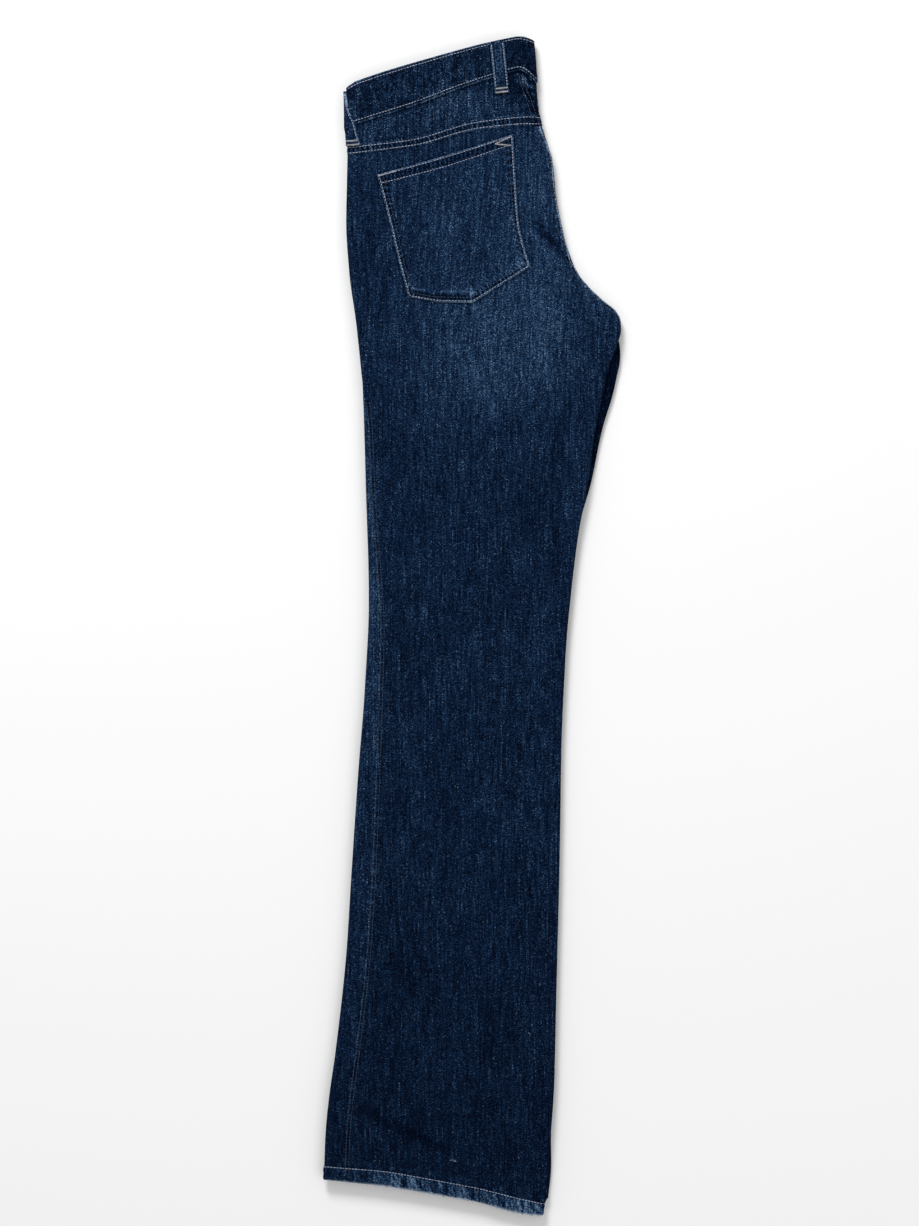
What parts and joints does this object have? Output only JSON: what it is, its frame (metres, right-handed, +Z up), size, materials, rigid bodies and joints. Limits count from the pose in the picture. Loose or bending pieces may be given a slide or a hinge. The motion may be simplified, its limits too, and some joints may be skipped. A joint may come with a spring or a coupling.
{
  "type": "jeans folded in half lengthwise",
  "caption": "Dark blue denim jeans folded in half along their length and laid flat, with the left back leg, yoke, patch pocket and belt loops on top.",
  "frame": {"origin": "centre of the outline's box, on the surface that the folded jeans rest on", "axes": "+Y from the hem towards the waist, +X from the side seam towards the inseam, +Z up through the folded layers"},
  "size_m": [0.2897, 1.1421, 0.0191],
  "materials": {
    "denim": "washed dark indigo denim, right-hand twill with vertical slubs, faded over the seat and on the pocket",
    "inner_denim": "the same denim on the layers under the top one, less faded",
    "denim_trim": "folded denim strip with grey-tan topstitching and lighter worn edges"
  },
  "bodies": {
    "root": {"hidden_layers": "inner_denim", "left_back_panel": "denim", "left_front_panel": "denim", "left_back_yoke": "denim", "right_back_yoke": "denim", "right_back_panel": "denim", "waistband": "denim", "back_pocket": "denim", "belt_loop_back": "denim_trim", "belt_loop_side": "denim_trim"}
  },
  "joints": []
}
